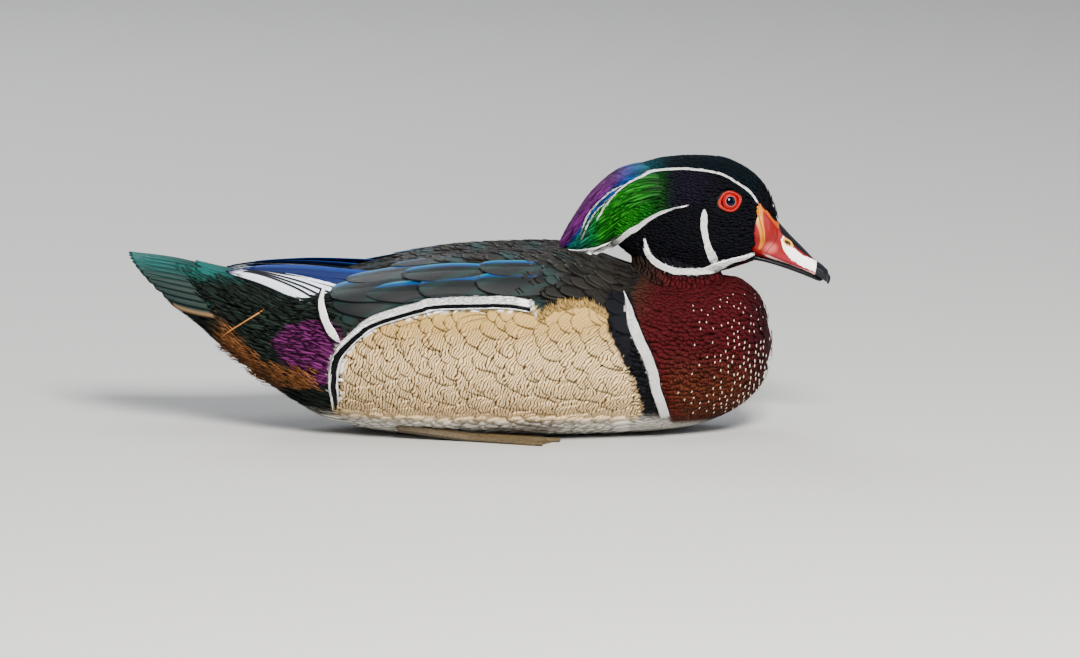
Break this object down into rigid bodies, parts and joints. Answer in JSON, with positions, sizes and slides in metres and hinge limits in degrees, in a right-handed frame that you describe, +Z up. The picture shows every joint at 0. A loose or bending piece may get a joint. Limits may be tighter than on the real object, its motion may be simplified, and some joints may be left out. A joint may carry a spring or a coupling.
{
  "type": "bird model",
  "caption": "Life-size wood duck drake resting on its belly with folded wings, swept-back crest, hooked bill and feet tucked beneath",
  "frame": {"origin": "on the floor, midway between the tips of the bill and tail and between the two sides", "axes": "+X toward the bill, +Y to the bird's left, +Z up"},
  "size_m": [0.3701, 0.1346, 0.1466],
  "materials": {
    "body_plumage": "soft maroon breast feathers over a fawn belly",
    "head_plumage": "close black feathers with a dark sheen",
    "crest_plumage": "glossy green and violet feathers",
    "bill_horn": "red horn with a dark ridge",
    "bill_dark": "black horn",
    "tail_plumage": "dark green-black feathers",
    "eye": "wet red",
    "wing_plumage": "dark feathers with a blue sheen",
    "flank_plumage": "fine-barred buff feathers",
    "leg_skin": "scaly yellow-brown skin"
  },
  "bodies": {
    "root": {"torso": "body_plumage", "neck": "body_plumage", "head": "head_plumage", "crest": "crest_plumage", "upper_bill": "bill_horn", "lower_bill": "bill_dark", "tail": "tail_plumage", "eye_left": "eye", "eye_right": "eye", "wing_left": "wing_plumage", "wing_right": "wing_plumage", "flank_left": "flank_plumage", "flank_right": "flank_plumage", "leg_left": "leg_skin", "leg_right": "leg_skin"}
  },
  "joints": []
}
